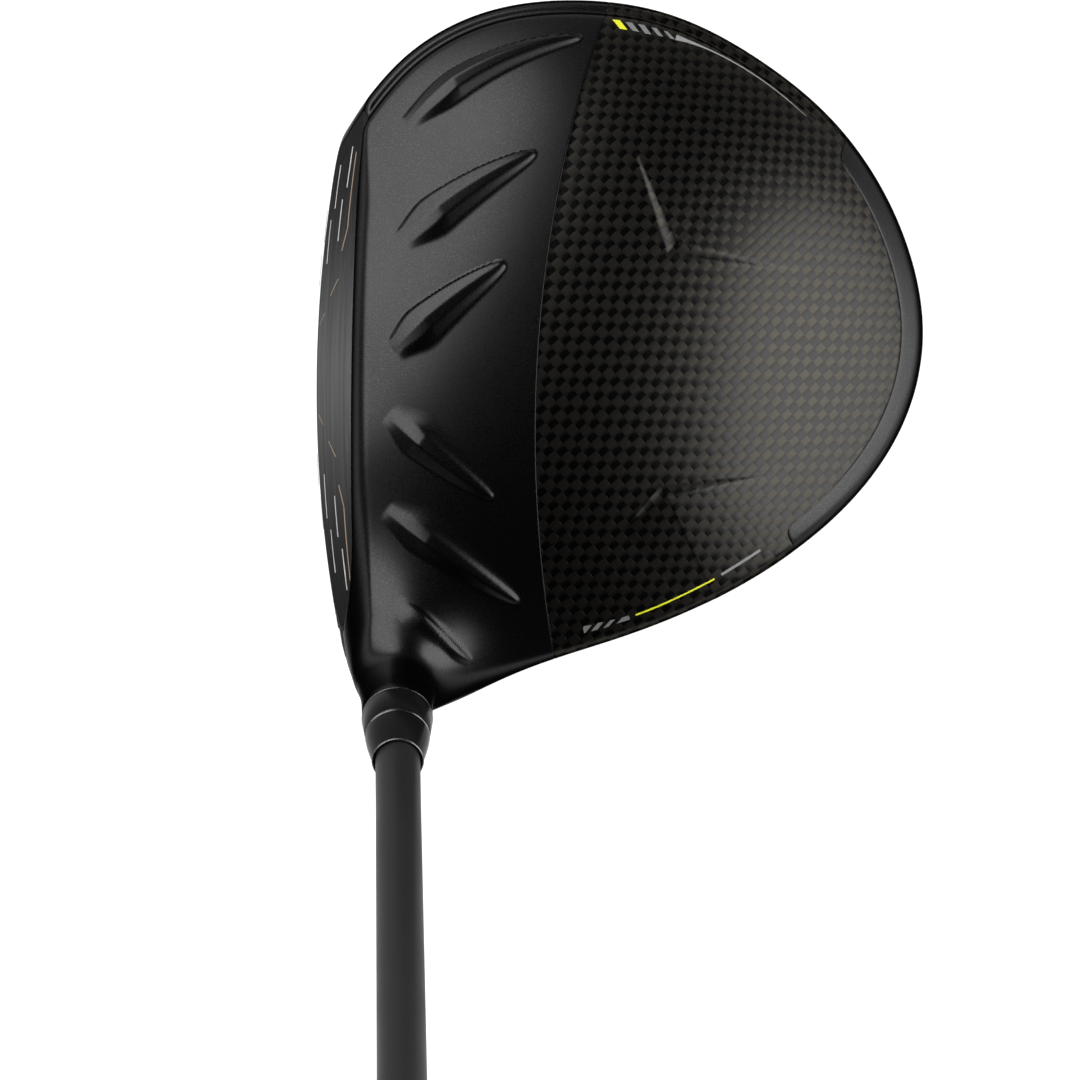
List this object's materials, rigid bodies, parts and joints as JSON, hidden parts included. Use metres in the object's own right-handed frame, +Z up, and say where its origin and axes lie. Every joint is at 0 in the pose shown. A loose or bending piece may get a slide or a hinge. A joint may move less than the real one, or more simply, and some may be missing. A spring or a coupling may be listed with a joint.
{
  "type": "golf driver",
  "caption": "Golf driver with a hollow metal head, a composite crown panel, an adjustable screw-held hosel sleeve, a tapered shaft and a rubber grip.",
  "frame": {"origin": "the point of the sole that rests on the ground under the head", "axes": "+X to the back of the head, +Y to the toe, +Z up; the face looks to -X and the shaft rises towards -Y"},
  "size_m": [0.1171, 0.7006, 1.0022],
  "materials": {
    "satin_paint": "satin black paint with fine sparkle",
    "face_metal": "dark brushed face",
    "carbon_composite": "satin clear coat over woven carbon",
    "cast_metal": "as cast and machined",
    "weight_metal": "turned",
    "seal_rubber": "matt",
    "screw_steel": "machined",
    "sleeve_alloy": "anodised grey",
    "collar_black": "black, semi-gloss",
    "trim_metal": "dull silver ring",
    "ferrule_plastic": "black, polished",
    "retainer_plastic": "natural",
    "shaft_composite": "matt dark grey paint",
    "plug_plastic": "natural",
    "tape": "paper tape",
    "grip_rubber": "moulded, matt"
  },
  "bodies": {
    "club_shaft": {"shaft": "shaft_composite", "tip_plug": "plug_plastic", "sleeve": "sleeve_alloy", "sleeve_collar": "collar_black", "trim_ring": "trim_metal", "ferrule": "ferrule_plastic", "grip_tape": "tape", "grip": "grip_rubber", "grip_cap": "grip_rubber"},
    "seal": {"seal_ring": "seal_rubber"},
    "head": {"head_body": "satin_paint", "face_plate": "face_metal", "crown_panel": "carbon_composite", "hosel_tube": "cast_metal", "back_weight": "weight_metal", "weight_gasket": "seal_rubber", "weight_screw": "screw_steel"},
    "washer": {"screw_washer": "screw_steel"},
    "screw": {"hosel_screw": "screw_steel", "screw_retainer": "retainer_plastic"}
  },
  "joints": [
    {"name": "head_pull", "type": "slide", "parent": "club_shaft", "child": "seal", "axis": [0, 0.5075, -0.8616], "range_m": [0, 0.045]},
    {"name": "head_index", "type": "hinge", "parent": "seal", "child": "head", "pos_m": [-0.0228, -0.05069, 0.03834], "axis": [0, -0.5075, 0.8616], "continuous": true},
    {"name": "screw_back_off", "type": "slide", "parent": "head", "child": "washer", "axis": [0, 0.5075, -0.8616], "range_m": [0, 0.0056]},
    {"name": "screw_turn", "type": "hinge", "parent": "washer", "child": "screw", "pos_m": [-0.0228, -0.04231, 0.02413], "axis": [0, 0.5075, -0.8616], "range_deg": [0, 2521]}
  ],
  "couplings": [
    {"joint": "screw_turn", "follows": "screw_back_off", "rad_per_m": 7854}
  ]
}
